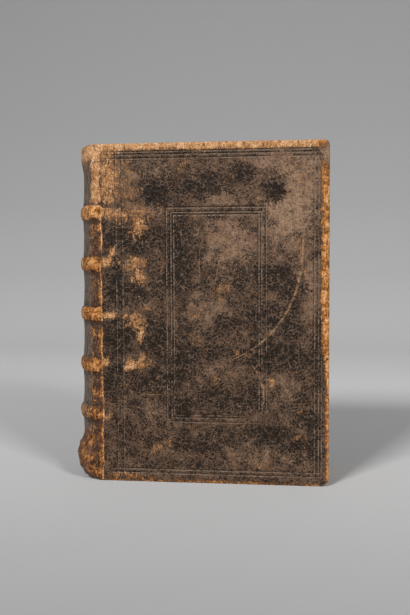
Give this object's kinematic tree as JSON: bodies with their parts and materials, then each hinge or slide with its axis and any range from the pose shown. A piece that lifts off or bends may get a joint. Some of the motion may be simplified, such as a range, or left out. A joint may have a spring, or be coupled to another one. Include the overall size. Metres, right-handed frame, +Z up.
{
  "type": "antique leather book",
  "caption": "Antique book in worn blind-tooled leather over boards, with a rounded spine, raised bands and covers that open on their joints.",
  "frame": {"origin": "centre of the book's footprint, on the surface that its tail edge stands on", "axes": "+Z up from tail to head; +X from the spine to the fore-edge; the front cover faces -Y and the back cover +Y"},
  "size_m": [0.1308, 0.0464, 0.17],
  "materials": {
    "cover_leather": "dark brown-black calf with low sheen, blind tooled, rubbed to tan along edges, bands and joints",
    "page_paper": "matt rag paper, edges browned and dusty",
    "endpaper": "matt laid paper, toned, with turn-ins showing through",
    "pasteboard": "matt grey-brown pasteboard, covered",
    "hemp_cord": "matt hemp cord",
    "spine_lining": "matt pasted linen, covered",
    "endband_thread": "faded two-colour thread with a slight sheen"
  },
  "bodies": {
    "book_block": {"text_block": "page_paper", "spine_leather": "cover_leather", "head_endband": "endband_thread", "tail_endband": "endband_thread", "spine_lining_1": "spine_lining", "spine_lining_2": "spine_lining", "spine_lining_3": "spine_lining", "spine_lining_4": "spine_lining", "spine_lining_5": "spine_lining", "spine_lining_6": "spine_lining", "sewing_cord_1": "hemp_cord", "sewing_cord_2": "hemp_cord", "sewing_cord_3": "hemp_cord", "sewing_cord_4": "hemp_cord", "sewing_cord_5": "hemp_cord"},
    "front_cover": {"front_leather": "cover_leather", "front_board": "pasteboard", "front_pastedown": "endpaper", "front_lacing_slip_1": "hemp_cord", "front_lacing_slip_2": "hemp_cord", "front_lacing_slip_3": "hemp_cord", "front_lacing_slip_4": "hemp_cord", "front_lacing_slip_5": "hemp_cord"},
    "back_cover": {"back_leather": "cover_leather", "back_board": "pasteboard", "back_pastedown": "endpaper", "back_lacing_slip_1": "hemp_cord", "back_lacing_slip_2": "hemp_cord", "back_lacing_slip_3": "hemp_cord", "back_lacing_slip_4": "hemp_cord", "back_lacing_slip_5": "hemp_cord"}
  },
  "joints": [
    {"name": "front_cover_hinge", "type": "hinge", "parent": "book_block", "child": "front_cover", "pos_m": [-0.04797, -0.021, 0.085], "axis": [0, 0, -1], "range_deg": [0, 120]},
    {"name": "back_cover_hinge", "type": "hinge", "parent": "book_block", "child": "back_cover", "pos_m": [-0.04797, 0.021, 0.085], "axis": [0, 0, 1], "range_deg": [0, 120]}
  ]
}
